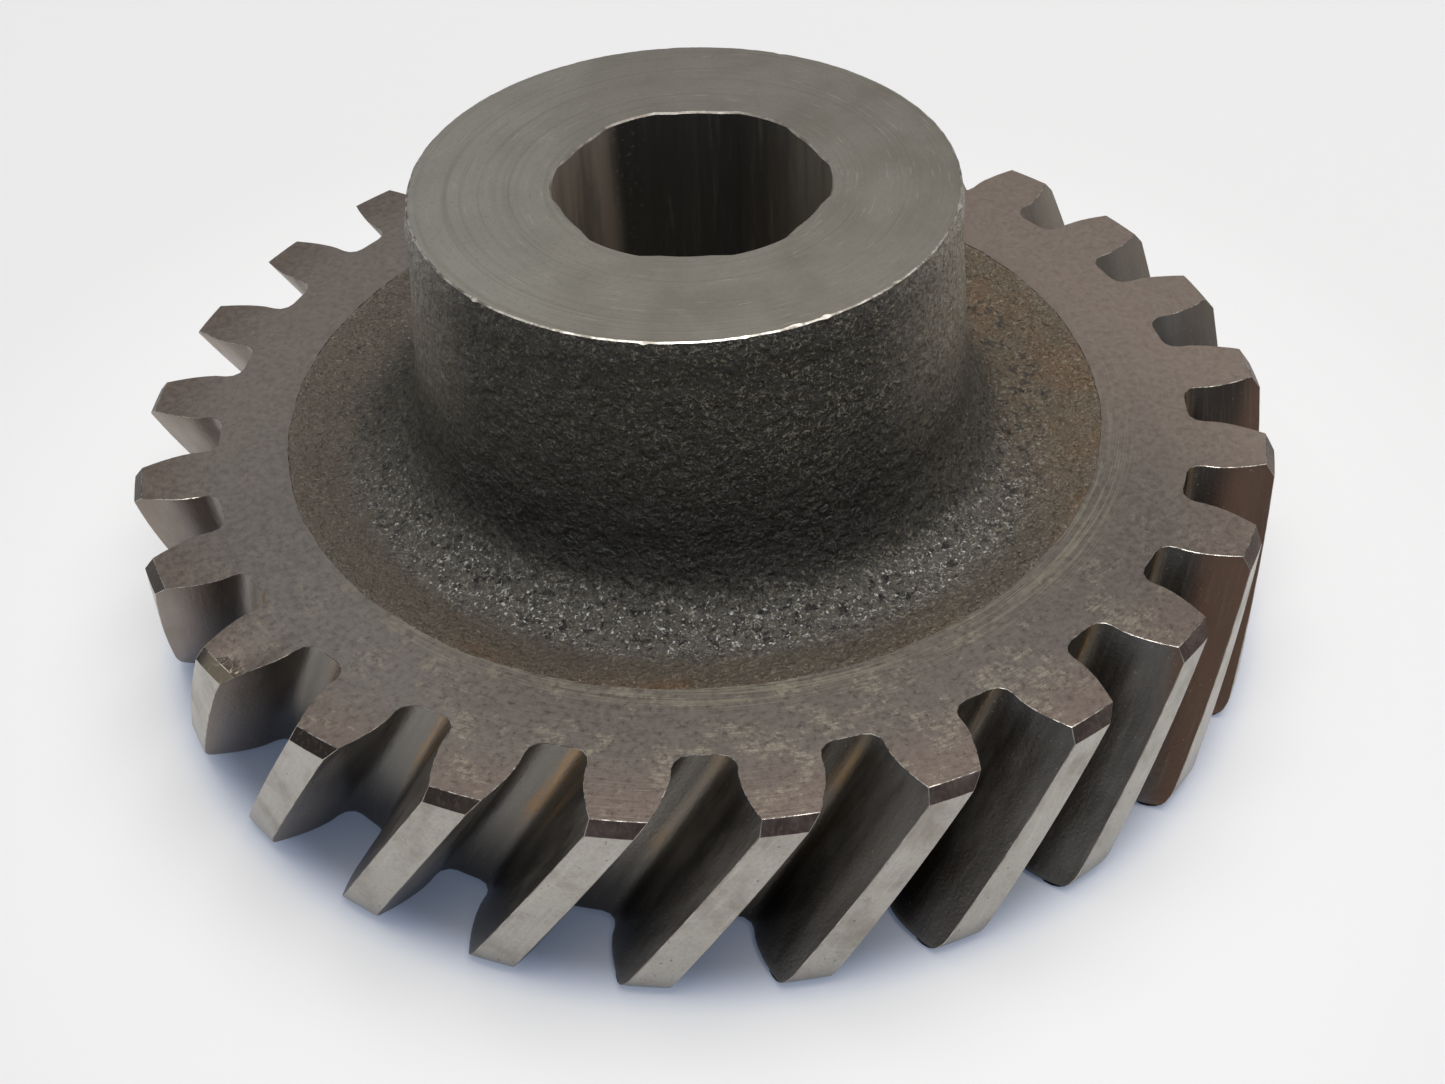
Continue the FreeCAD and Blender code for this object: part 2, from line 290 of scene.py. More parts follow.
def cast_profile():
    """Points and outward normals (radius, height) down the hub, round its fillet and up the web,
    and the lengths of those three stretches."""
    web = np.array([math.cos(WEB_SLOPE), math.sin(WEB_SLOPE)])
    hub = np.array([math.sin(HUB_DRAFT), -math.cos(HUB_DRAFT)])
    web_normal = np.array([-web[1], web[0]])
    hub_normal = np.array([-hub[1], hub[0]])
    top = np.array([HUB_RADIUS, HEIGHT - HUB_EDGE_DROP])
    end = np.array([RECESS_RADIUS, FACE_WIDTH])
    # The fillet's centre is its own radius away from both straight stretches
    gap = (top + HUB_FILLET * hub_normal) - (end + HUB_FILLET * web_normal)
    run = (gap[0] * hub[1] - gap[1] * hub[0]) / (web[0] * hub[1] - web[1] * hub[0])
    centre = end + HUB_FILLET * web_normal + run * web
    on_hub = centre - HUB_FILLET * hub_normal
    on_web = centre - HUB_FILLET * web_normal
    start = math.atan2(*(on_hub - centre)[::-1]) % (2 * math.pi)
    stop = math.atan2(*(on_web - centre)[::-1]) % (2 * math.pi)
    lengths = [np.linalg.norm(on_hub - top), HUB_FILLET * (stop - start),
               np.linalg.norm(end - on_web)]
    points = []
    normals = []
    for distance in np.linspace(0, sum(lengths), CAST_RINGS + 1):
        if distance <= lengths[0]:
            points.append(top + hub * distance)
            normals.append(hub_normal)
        elif distance <= lengths[0] + lengths[1]:
            around = start + (distance - lengths[0]) / HUB_FILLET
            direction = np.array([math.cos(around), math.sin(around)])
            points.append(centre + HUB_FILLET * direction)
            normals.append(-direction)
        else:
            points.append(on_web + web * (distance - lengths[0] - lengths[1]))
            normals.append(web_normal)
    return np.array(points), np.array(normals), lengths


def field(points, size):
    """Smooth noise from -1 to 1 that depends on place alone, with features of a size in mm."""
    return np.array([noise.noise(Vector(p) / size) for p in points])


def smooth_step(value, low, high):
    share = np.clip((value - low) / (high - low), 0, 1)
    return share * share * (3 - 2 * share)


def near_angle(angles, centre_deg, width_deg):
    """A smooth bump from 0 to 1 around an angle."""
    away = (np.degrees(angles) - centre_deg + 180) % 360 - 180
    return np.exp(-(away / width_deg) ** 2)


def cast_rings():
    """Rings of the rough cast skin, from the hub's edge to the recess line."""
    points, normals, lengths = cast_profile()
    total = sum(lengths)
    angles = even_angles()
    outward = np.stack([np.cos(angles), np.sin(angles)], 1)
    rings = []
    for step, (point, normal) in enumerate(zip(points, normals)):
        share = step / CAST_RINGS
        shift = HUB_SHIFT * (1 - share) + RECESS_SHIFT * share
        ring = circle_ring(point[0], point[1], shift)
        distance = share * total
        # The fillet is the roughest stretch, most of all on the front
        fillet = math.exp(-((distance - lengths[0] - 0.6 * lengths[1]) / 6.5) ** 2)
        front = 0.5 + 0.5 * np.cos(angles - FRONT)
        # A rougher patch on the web, at the back on the right
        back_patch = near_angle(angles, 20, 22) * math.exp(-((distance - total + 9) / 5) ** 2)
        grain = sum(tall * field(ring + offset, size) for offset, size, tall in CAST_GRAIN)
        rough = 0.75 + fillet * (0.5 + 1.1 * front) + 1.5 * back_patch
        ends = smooth_step(distance, 0, 1.2) * (1 - smooth_step(distance, total - 1.0, total))
        height = grain * rough * ends
        height += SWELL_HEIGHT * math.exp(-((distance - SWELL_PLACE) / SWELL_WIDTH) ** 2)
        ring[:, :2] += outward * (normal[0] * height)[:, None]
        ring[:, 2] += normal[1] * height
        rings.append(ring)
    return rings


def hub_edge_rings():
    """The burred, nicked edge between the hub's turned end face and its cast flank."""
    angles = even_angles()
    inner = circle_ring(HUB_RADIUS - HUB_EDGE_WEAR, HEIGHT, HUB_SHIFT)
    outer = circle_ring(HUB_RADIUS, HEIGHT - HUB_EDGE_DROP, HUB_SHIFT)
    outward = np.stack([np.cos(angles), np.sin(angles)], 1)
    ragged = 0.05 * field(outer, 2.2) + 0.04 * field(outer, 0.8)
    inner[:, :2] += outward * ragged[:, None]
    outer[:, :2] += outward * (ragged * 1.2 + 0.04)[:, None]
    for centre, width, spread, burr in HUB_KNOCKS:
        near = near_angle(angles, centre, width)
        inner[:, :2] -= outward * (spread * near)[:, None]
        outer[:, :2] += outward * (burr * near)[:, None]
        outer[:, 2] -= 0.3 * abs(burr) * near
    return inner, outer


def between(start, end, shares):
    return [start * (1 - share) + end * share for share in shares]


def tooth_surface(height_above, height_below):
    """Surface of each column in a strip of the toothed side."""
    from_top = FACE_WIDTH - (height_above + height_below) / 2
    if from_top < EDGE_WEAR:
        return ["edge"] * COLUMNS
    corner = abs(from_top - TIP_CHAMFER_AXIAL) < EDGE_WEAR
    tip = "land_edge" if corner else "chamfer" if from_top < TIP_CHAMFER_AXIAL else "land"
    half = [tip, tip, "land_edge"] + ["flank"] * (HALF_TOOTH_STEPS - 3)
    return (half + half[::-1]) * TEETH


def gear_rings():
    """All rings from the bore's foot, up, over and round to the back face, and the surface of
    the strip that starts at each."""
    rings = []
    surfaces = []

    def add(ring, surface):
        rings.append(ring)
        surfaces.append([surface] * COLUMNS if isinstance(surface, str) else surface)

    for height in np.linspace(BORE_CHAMFER, HEIGHT - BORE_CHAMFER, BORE_RINGS)[:-1]:
        add(bore_ring(height), "bore")
    add(bore_ring(HEIGHT - BORE_CHAMFER), "land_edge")

    bore_top = bore_ring(HEIGHT, BORE_CHAMFER)
    edge_inner, edge_outer = hub_edge_rings()
    for ring in between(bore_top, edge_inner, (0, 0.12, 0.35, 0.6, 0.85, 0.98)):
        ring[:, 2] = HEIGHT
        add(ring, "hub_face")
    add(edge_inner, "hub_edge")

    cast = cast_rings()
    cast[0] = edge_outer
    recess = cast.pop()
    wobble = 0.16 * field(recess, 3.0) + 0.08 * field(recess, 1.1)
    recess[:, :2] *= 1 + (wobble / RECESS_RADIUS)[:, None]
    for ring in cast:
        add(ring, "cast")
    rim_start = recess.copy()
    rim_start[:, :2] *= 1 + EDGE_WEAR / RECESS_RADIUS
    recess[:, 2] -= RECESS_EDGE_DROP
    add(recess, "edge")

    burred = burred_inset()
    outline = outline_ring(FACE_WIDTH, burred)
    roots = root_circle(outline, FACE_WIDTH, ROOT_CIRCLE_DEPTH)
    for ring in between(rim_start, roots, (0, 0.2, 0.6)) + between(roots, outline, (0, 0.5)):
        add(ring, "rim_face")
    corner = EDGE_WEAR / 3
    top_corner = FACE_WIDTH - TIP_CHAMFER_AXIAL
    # (height, how far the outline is moved inwards there), down the toothed side
    side = [(FACE_WIDTH, burred), (FACE_WIDTH - EDGE_DROP, burred * 0.3)]
    side += [(FACE_WIDTH - TIP_CHAMFER_AXIAL / 2, 0.0), (top_corner + corner, 0.0)]
    heights = np.linspace(top_corner - corner, BACK_TIP_ROUNDING, SIDE_RINGS)
    side += [(height, 0.0) for height in heights]
    side += [((BACK_TIP_ROUNDING + BACK_ROUNDING) / 2, 0.0)]
    side += [(BACK_ROUNDING * (1 - math.sin(turn)), BACK_ROUNDING * (1 - math.cos(turn)))
             for turn in np.linspace(0, math.pi / 2, 5)]
    for (above, inset), (below, _) in zip(side, side[1:]):
        add(outline_ring(above, inset), tooth_surface(above, below))
    back = outline_ring(0.0, BACK_ROUNDING)
    roots = root_circle(back, 0.0, ROOT_CIRCLE_DEPTH + BACK_ROUNDING)
    inner = bore_ring(0.0, BORE_CHAMFER)
    for ring in between(back, roots, (0, 0.5)) + between(roots, inner, (0, 0.25, 0.5, 0.75)):
        add(ring, "back_face")
    add(bore_ring(0.0, BORE_CHAMFER), "edge")
    return rings, surfaces


def knock_tooth(rings):
    """Presses in the battered tip corner of the tooth at the front left, and leaves its root."""
    for ring in rings:
        away = np.linalg.norm(ring - BATTERED_PLACE, axis=1)
        hit = np.exp(-(away / BATTERED_REACH) ** 2)
        hit[np.hypot(*ring[:, :2].T) < ROOT_RADIUS + 2] = 0
        uneven = 0.6 + 0.8 * np.abs(field(ring, 0.8))
        ring[:, 2] -= hit * uneven * BATTERED_DOWN
        ring[:, :2] *= 1 - (hit * uneven * BATTERED_IN / TIP_RADIUS)[:, None]


def straightened(points):
    """Places with the helix unwound, so that each tooth lies straight along Z."""
    turn = -TWIST * (points[:, 2] - FACE_WIDTH)
    x = points[:, 0] * np.cos(turn) - points[:, 1] * np.sin(turn)
    y = points[:, 0] * np.sin(turn) + points[:, 1] * np.cos(turn)
    return np.stack([x, y, points[:, 2]], 1)


def build_gear(materials):
    rings, surfaces = gear_rings()
    knock_tooth(rings)
    count = len(rings)
    points = np.concatenate(rings)
    ring, column = np.meshgrid(np.arange(count), np.arange(COLUMNS), indexing="ij")
    next_ring = (ring + 1) % count
    next_column = (column + 1) % COLUMNS
    corners = [ring * COLUMNS + column, next_ring * COLUMNS + column,
               next_ring * COLUMNS + next_column, ring * COLUMNS + next_column]
    faces = np.stack([c.ravel() for c in corners], 1)

    mesh = bpy.data.meshes.new("helical_gear_skin")
    mesh.from_pydata((points * MM).tolist(), [], faces.tolist())
    slots = np.array([[SURFACES.index(s) for s in row] for row in surfaces], np.int32)
    mesh.polygons.foreach_set("material_index", slots.ravel())
    for name in SURFACES:
        mesh.materials.append(materials[name])
    mesh.shade_smooth()
    crease(mesh, slots)

    straight = mesh.attributes.new("straight", "FLOAT_VECTOR", "POINT")
    straight.data.foreach_set("vector", (straightened(points) * MM).astype(np.float32).ravel())
    mesh.update()
    gear = bpy.data.objects.new("helical_gear_skin", mesh)
    bpy.context.scene.collection.objects.link(gear)
    return gear


def crease(mesh, slots):
    """Marks an edge sharp wherever one surface meets another."""
    ends = np.zeros(len(mesh.edges) * 2, np.int32)
    mesh.edges.foreach_get("vertices", ends)
    ring, column = np.divmod(ends.reshape(-1, 2), COLUMNS)
    count = len(slots)
    along_ring = ring[:, 0] == ring[:, 1]
    # The lower index of the two ends, where the grid's last ring or column joins the first
    low_ring = np.where(np.abs(ring[:, 0] - ring[:, 1]) > 1, count - 1, ring.min(1))
    low_column = np.where(np.abs(column[:, 0] - column[:, 1]) > 1, COLUMNS - 1, column.min(1))
    here = slots[low_ring, low_column]
    before = np.where(along_ring, slots[low_ring - 1, low_column], slots[low_ring, low_column - 1])
    sharp = mesh.attributes.get("sharp_edge")
    sharp = sharp or mesh.attributes.new("sharp_edge", "BOOLEAN", "EDGE")
    sharp.data.foreach_set("value", here != before)


# ---------------------------------------------------------------- materials

def colour(red, green, blue):
    """Screen values from 0 to 255 as a linear colour."""
    def linear(value):
        value /= 255
        return value / 12.92 if value <= 0.04045 else ((value + 0.055) / 1.055) ** 2.4
    return (linear(red), linear(green), linear(blue), 1.0)


class Paint:
    """A material's node tree, with short calls for the nodes used here."""

    def __init__(self, name, metallic, roughness):
        self.material = bpy.data.materials.new(name)
        self.material.use_nodes = True
        self.tree = self.material.node_tree
        self.shader = self.tree.nodes["Principled BSDF"]
        self.shader.inputs["Metallic"].default_value = metallic
        self.shader.inputs["Roughness"].default_value = roughness
        self.place = self.node("ShaderNodeTexCoord").outputs["Object"]

    def node(self, kind, settings=None, **inputs):
        made = self.tree.nodes.new(kind)
        for name, value in (settings or {}).items():
            setattr(made, name, value)
        for name, value in inputs.items():
            self.put(made.inputs[name.replace("_", " ")], value)
        return made

    def put(self, socket, value):
        if isinstance(value, bpy.types.NodeSocket):
            self.tree.links.new(value, socket)
        else:
            socket.default_value = value

    def math(self, operation, first, second=0.0):
        made = self.node("ShaderNodeMath", {"operation": operation})
        self.put(made.inputs[0], first)
        self.put(made.inputs[1], second)
        return made.outputs[0]

    def times(self, first, second):
        return self.math("MULTIPLY", first, second)

    def attribute(self, name):
        return self.node("ShaderNodeAttribute", {"attribute_name": name}).outputs["Vector"]

    def parts(self, vector):
        return self.node("ShaderNodeSeparateXYZ", Vector=vector).outputs

    def stretch(self, vector, x, y, z):
        made = self.node("ShaderNodeMapping", Vector=vector)
        made.inputs["Scale"].default_value = (x, y, z)
        return made.outputs[0]

    def round_place(self, rings_per_mm, round_scale):
        """Coordinates that change quickly with radius and slowly round the axis, and the radius."""
        x, y, _ = self.parts(self.place)
        flat = self.node("ShaderNodeCombineXYZ", X=x, Y=y)
        radius = self.node("ShaderNodeVectorMath", {"operation": "LENGTH"}, Vector=flat.outputs[0])
        radius = radius.outputs["Value"]
        made = self.node("ShaderNodeCombineXYZ",
                         X=self.times(self.math("DIVIDE", x, radius), round_scale),
                         Y=self.times(self.math("DIVIDE", y, radius), round_scale),
                         Z=self.times(radius, rings_per_mm / MM))
        return made.outputs[0], radius

    def noise(self, vector, size_mm=None, detail=2.0, rough=0.5):
        """Noise from 0 to 1 with features of a size in mm, or of one unit without a size."""
        scale = 1 / (size_mm * MM) if size_mm else 1.0
        made = self.node("ShaderNodeTexNoise", Vector=vector, Scale=scale, Detail=detail,
                         Roughness=rough)
        return made.outputs["Fac"]

    def cells(self, vector, size_mm, smooth):
        made = self.node("ShaderNodeTexVoronoi", {"feature": "SMOOTH_F1"}, Vector=vector,
                         Scale=1 / (size_mm * MM), Smoothness=smooth)
        return made.outputs["Distance"]

    def ramp(self, value, low, high, to_low=0.0, to_high=1.0):
        made = self.node("ShaderNodeMapRange", {"interpolation_type": "SMOOTHSTEP"}, Value=value,
                         From_Min=low, From_Max=high, To_Min=to_low, To_Max=to_high)
        return made.outputs["Result"]

    def ramp_mm(self, value, low_mm, high_mm, to_low=0.0, to_high=1.0):
        return self.ramp(value, low_mm * MM, high_mm * MM, to_low, to_high)

    def mix(self, share, first, second):
        made = self.node("ShaderNodeMix", {"data_type": "RGBA"})
        self.put(made.inputs[0], share)
        self.put(made.inputs[6], first)
        self.put(made.inputs[7], second)
        return made.outputs[2]

    def lay(self, base, share, strength, over):
        """Lays one colour over another, as far as a share says."""
        return self.mix(self.times(share, strength), base, over)

    def bump(self, height, depth_mm, under=None):
        made = self.node("ShaderNodeBump", Height=height, Distance=depth_mm * MM)
        if under is not None:
            self.put(made.inputs["Normal"], under)
        return made.outputs["Normal"]

    def near(self, place_mm, reach_mm, ragged_mm):
        """A share that falls from 1 near a place to 0 away from it, with a ragged outline."""
        away = self.node("ShaderNodeVectorMath", {"operation": "DISTANCE"})
        self.put(away.inputs[0], self.place)
        away.inputs[1].default_value = [value * MM for value in place_mm]
        ragged = self.times(self.noise(self.place, 0.9, 3.0, 0.6), ragged_mm * MM)
        away = self.math("ADD", away.outputs["Value"], ragged)
        return self.ramp_mm(away, reach_mm, reach_mm * 0.6)

    def strokes(self, size_mm, width, share):
        """Short curved strokes: lines along a noise's middle level, kept where another is high."""
        level = self.math("SUBTRACT", self.noise(self.place, size_mm, 1.0, 0.5), 0.5)
        line = self.ramp(self.math("ABSOLUTE", level), width, width * 0.3)
        kept = self.ramp(self.noise(self.place, size_mm * 0.8 + 0.1, 2.0, 0.6), share, share + 0.06)
        return self.times(line, kept)

    def facing(self, degrees, low_mm, high_mm):
        """A share that rises from 0 to 1 between two distances along a direction in plan."""
        x, y, _ = self.parts(self.place)
        angle = math.radians(degrees)
        along = self.math("ADD", self.times(x, math.cos(angle)), self.times(y, math.sin(angle)))
        return self.ramp_mm(along, low_mm, high_mm)

    def finish(self, base, roughness, normal):
        """Plugs in the colour, the roughness where it varies, and the bumps."""
        self.put(self.shader.inputs["Base Color"], base)
        if roughness is not None:
            self.put(self.shader.inputs["Roughness"], roughness)
        self.put(self.shader.inputs["Normal"], normal)
        return self.material


def cast_material():
    """Oily black as-cast skin: sand grains, brown web, sheltered rust; painted flecks, glints,
    sheen, shade.
    """
    paint = Paint("cast_skin", 0.0, 0.4)
    _, radius = paint.round_place(1, 1)
    height_up = paint.parts(paint.place)[2]
    on_web = paint.ramp_mm(radius, 37, 43)
    on_hub = paint.ramp_mm(radius, 34, 31.5)
    front = paint.facing(FRONT_DEG, -10, 32)
    fillet = paint.times(paint.ramp_mm(radius, 32.5, 36), paint.ramp_mm(radius, 43, 39))
    band = paint.times(fillet, front)

    grains = paint.cells(paint.place, 0.8, 0.15)
    fine = paint.noise(paint.place, 0.5, 4.0, 0.7)
    lumps = paint.noise(paint.place, 1.7, 4.0, 0.65)
    height = paint.math("ADD", paint.times(grains, -0.7), paint.times(fine, 1.3))
    calm = paint.math("SUBTRACT", 1.0, paint.times(band, 0.3))
    lump_height = paint.times(lumps, paint.math("ADD", paint.times(band, 0.6), 1.0))
    normal = paint.bump(lump_height, 1.2, paint.bump(paint.times(height, calm), 0.52))

    patches = paint.noise(paint.place, 9, 4.0, 0.6)
    black = paint.mix(patches, colour(39, 35, 26), colour(61, 55, 42))
    brown = paint.mix(patches, colour(92, 83, 71), colour(114, 103, 88))
    base = paint.mix(paint.times(on_web, 0.85), black, brown)
    # Painted light: the hub's flank is lighter on its left and right sides and towards the top,
    # where light catches it
    left = paint.times(paint.facing(LEFT_DEG, 22, 31), 0.65)
    sides = paint.math("MAXIMUM", paint.facing(RIGHT_DEG + 5, 14, 29), left)
    sides = paint.times(paint.times(sides, on_hub), paint.ramp(fine, 0.38, 0.6, 0.25, 1.0))
    sides = paint.times(sides, paint.ramp_mm(height_up, 27, 50, 0.5, 1.0))
    base = paint.mix(sides, base, colour(182, 169, 145))
    # Painted sheen: a lighter band round the fillet on the front
    base = paint.lay(base, band, 0.65, colour(124, 119, 110))
    rust = paint.ramp(paint.noise(paint.place, 12, 5.0, 0.65), 0.42, 0.7)
    rim_line = paint.times(paint.ramp_mm(radius, 43, 46.5), paint.facing(-80, 0, 30))
    right = paint.times(paint.facing(5, 12, 34), paint.ramp_mm(radius, 32, 37))
    rust = paint.times(rust, paint.math("MAXIMUM", rim_line, right))
    base = paint.lay(base, right, 0.75, colour(114, 98, 76))
    base = paint.lay(base, rust, 0.6, colour(126, 88, 50))
    # Painted highlights: the tops of the grains are lighter
    tops = paint.ramp(height, 0.4, 0.75)
    base = paint.lay(base, tops, 0.6, colour(112, 106, 92))

    # Painted glints: light flecks on the grains, more of them on the right, where the light comes
    # from
    fleck_glints = paint.strokes(0.6, 0.05, 0.5)
    more = paint.math("ADD", paint.times(paint.facing(RIGHT_DEG - 20, 0, 25), 0.5), 0.38)
    base = paint.mix(paint.times(fleck_glints, more), base, colour(156, 148, 126))
    pits = paint.times(paint.ramp(paint.noise(paint.place, 1.1, 3.0, 0.6), 0.46, 0.38), fillet)
    base = paint.lay(base, pits, 0.8, colour(27, 24, 20))
    # Painted glints and sparkles on the front fillet band
    glints = paint.times(paint.strokes(0.9, 0.04, 0.52), band)
    base = paint.lay(base, glints, 0.8, colour(210, 207, 198))
    sparks = paint.times(paint.ramp(paint.noise(paint.place, 0.45, 1.0, 0.5), 0.67, 0.70), band)
    base = paint.mix(sparks, base, colour(238, 236, 230))
    # Painted glints: small light specks on the grains
    specks = paint.ramp(paint.noise(paint.place, 0.5, 2.0, 0.5), 0.66, 0.70)
    base = paint.lay(base, specks, 0.7, colour(158, 148, 126))
    # Painted shade: darker low on the hub's flank, just above the fillet
    low = paint.times(paint.ramp_mm(height_up, 45, 30), paint.ramp_mm(radius, 34.5, 32))
    base = paint.lay(base, low, 0.6, colour(22, 19, 15))
    dry = paint.ramp(paint.noise(paint.place, 0.9, 3.0, 0.6), 0.3, 0.7, 0.24, 0.48)
    roughness = paint.math("SUBTRACT", dry, paint.times(band, 0.1))
    return paint.finish(base, roughness, normal)


def hub_face_material():
    """Turned face: fine rings, faint stains and a few light scratches."""
    paint = Paint("hub_face_turned", 1.0, 0.42)
    rings, _ = paint.round_place(5.0, 0.5)
    marks, _ = paint.round_place(3.5, 5.0)
    fine_rings = paint.noise(rings, detail=4.0, rough=0.65)
    scratches = paint.noise(marks, detail=3.0, rough=0.6)
    stains = paint.noise(paint.place, 9, 6.0, 0.7)
    grit = paint.noise(paint.place, 0.5, 2.0, 0.5)
    base = paint.mix(paint.ramp(stains, 0.35, 0.65), colour(127, 123, 114), colour(133, 129, 121))
    base = paint.mix(paint.facing(LEFT_DEG, 0, 28), base, colour(143, 141, 133))
    base = paint.lay(base, paint.ramp(fine_rings, 0.5, 0.66), 0.4, colour(112, 106, 96))
    base = paint.lay(base, paint.ramp(grit, 0.5, 0.75), 0.3, colour(110, 105, 96))
    base = paint.lay(base, paint.ramp(scratches, 0.62, 0.68), 0.35, colour(170, 166, 154))
    roughness = paint.ramp(stains, 0.3, 0.7, 0.40, 0.45)
    return paint.finish(base, roughness, paint.bump(fine_rings, 0.01))


def rim_face_material():
    """Faced rim: brown-grey patina worn through in scratched patches, and turning marks."""
    paint = Paint("rim_face_turned", 1.0, 0.42)
    rings, radius = paint.round_place(5.0, 1.0)
    marks, _ = paint.round_place(5.0, 3.0)
    short_marks, _ = paint.round_place(3.6, 16.0)
    fine_rings = paint.noise(rings, detail=4.0, rough=0.65)
    turned = paint.noise(marks, detail=5.0, rough=0.7)
    scratches = paint.noise(short_marks, detail=5.0, rough=0.75)
    clouds = paint.noise(paint.place, 11, 5.0, 0.6)
    blots = paint.noise(paint.place, 4, 7.0, 0.75)
    speckle = paint.noise(paint.place, 0.7, 5.0, 0.8)
    outer = paint.ramp_mm(radius, 55, 63)
    patina = paint.mix(clouds, colour(86, 79, 75), colour(98, 92, 87))
    patina = paint.mix(paint.facing(LEFT_DEG, 5, 45), patina, colour(104, 100, 96))
    patina = paint.mix(paint.facing(115, 20, 50), patina, colour(118, 111, 105))
    patina = paint.lay(patina, outer, 0.75, colour(101, 88, 82))
    patina = paint.mix(paint.facing(10, 20, 52), patina, colour(132, 119, 110))
    front = paint.facing(FRONT_DEG, 15, 50)
    amount = paint.math("ADD", paint.times(front, 0.6), 0.2)
    grooves = paint.ramp(scratches, 0.42, 0.58, 0.15, 1.0)
    worn = paint.times(paint.times(paint.ramp(blots, 0.49, 0.6), grooves),
                      paint.ramp(speckle, 0.42, 0.56, 0.1, 1.0))
    patina = paint.mix(paint.ramp(speckle, 0.4, 0.6, 0.0, 0.25), patina, colour(122, 115, 107))
    base = paint.mix(paint.times(worn, amount), patina, colour(134, 127, 113))
    pitted = paint.times(paint.ramp(speckle, 0.42, 0.34), amount)
    base = paint.lay(base, pitted, 0.6, colour(62, 54, 50))
    scratched = paint.times(paint.ramp(scratches, 0.6, 0.68), amount)
    base = paint.lay(base, scratched, 0.45, colour(138, 131, 118))
    band = paint.times(paint.ramp_mm(radius, 51.5, 47.5), paint.facing(-95, -10, 40))
    lines = paint.times(paint.ramp(turned, 0.5, 0.58), band)
    base = paint.lay(base, lines, 0.45, colour(136, 132, 115))
    hammered = paint.near(BATTERED_PLACE, 3.0, 1.6)
    base = paint.lay(base, hammered, 0.7, colour(74, 66, 56))
    burrs = paint.times(paint.strokes(1.4, 0.02, 0.4), hammered)
    base = paint.lay(base, burrs, 0.7, colour(168, 160, 138))
    roughness = paint.ramp(speckle, 0.35, 0.65, 0.38, 0.5)
    ridges = paint.times(paint.noise(paint.place, 1.6, 1.0, 0.5), hammered)
    return paint.finish(base, roughness, paint.bump(fine_rings, 0.015, paint.bump(ridges, 0.25)))


def land_material():
    """Ground tip of each tooth: bare light metal with faint stains, browner towards the back."""
    paint = Paint("tooth_land_ground", 1.0, 0.36)
    straight = paint.attribute("straight")
    height = paint.parts(paint.place)[2]
    streaks = paint.noise(paint.stretch(straight, 1, 1, 0.12), 0.7, 3.0, 0.6)
    grit = paint.noise(paint.place, 0.4, 4.0, 0.75)
    stains = paint.noise(paint.place, 6, 5.0, 0.65)
    base = paint.mix(paint.ramp(stains, 0.45, 0.75), colour(174, 170, 163), colour(148, 142, 133))
    base = paint.lay(base, paint.ramp(grit, 0.42, 0.66), 0.35, colour(142, 136, 125))
    base = paint.lay(base, paint.ramp(streaks, 0.5, 0.8), 0.3, colour(206, 203, 196))
    base = paint.mix(paint.ramp_mm(height, 4, 1, 0.0, 0.5), base, colour(126, 118, 106))
    dots = paint.ramp(paint.noise(paint.place, 0.7, 2.0, 0.5), 0.7, 0.75)
    base = paint.lay(base, dots, 0.6, colour(92, 82, 70))
    hammered = paint.near(BATTERED_PLACE, 2.2, 1.4)
    base = paint.lay(base, hammered, 0.4, colour(200, 190, 170))
    roughness = paint.ramp(stains, 0.3, 0.7, 0.32, 0.44)
    return paint.finish(base, roughness, paint.bump(streaks, 0.012))


def chamfer_material():
    """Turned chamfer at each tooth's end: dark with old oil, and brown where it is battered."""
    paint = Paint("tooth_chamfer", 1.0, 0.44)
    marks = paint.noise(paint.stretch(paint.place, 1, 1, 0.2), 0.45, 3.0, 0.6)
    stains = paint.noise(paint.place, 2.2, 4.0, 0.6)
    base = paint.mix(paint.ramp(stains, 0.35, 0.65), colour(90, 76, 70), colour(112, 97, 89))
    base = paint.mix(paint.facing(LEFT_DEG, 12, 34), base, colour(70, 62, 56))
    base = paint.lay(base, paint.ramp(marks, 0.5, 0.7), 0.25, colour(136, 126, 116))
    hammered = paint.near(BATTERED_PLACE, 5.2, 1.2)
    base = paint.lay(base, hammered, 0.8, colour(124, 112, 92))
    burrs = paint.times(paint.strokes(1.2, 0.03, 0.45), hammered)
    base = paint.lay(base, burrs, 0.7, colour(150, 138, 114))
    ridges = paint.times(paint.noise(paint.place, 1.4, 1.0, 0.5), hammered)
    # The battered corner is dull and brown, where the turned metal shines
    dulled = paint.math("SUBTRACT", 1.0, paint.times(hammered, 0.8))
    paint.put(paint.shader.inputs["Metallic"], dulled)
    normal = paint.bump(marks, 0.02, paint.bump(ridges, 0.25))
    return paint.finish(base, paint.ramp(marks, 0.3, 0.7, 0.38, 0.5), normal)


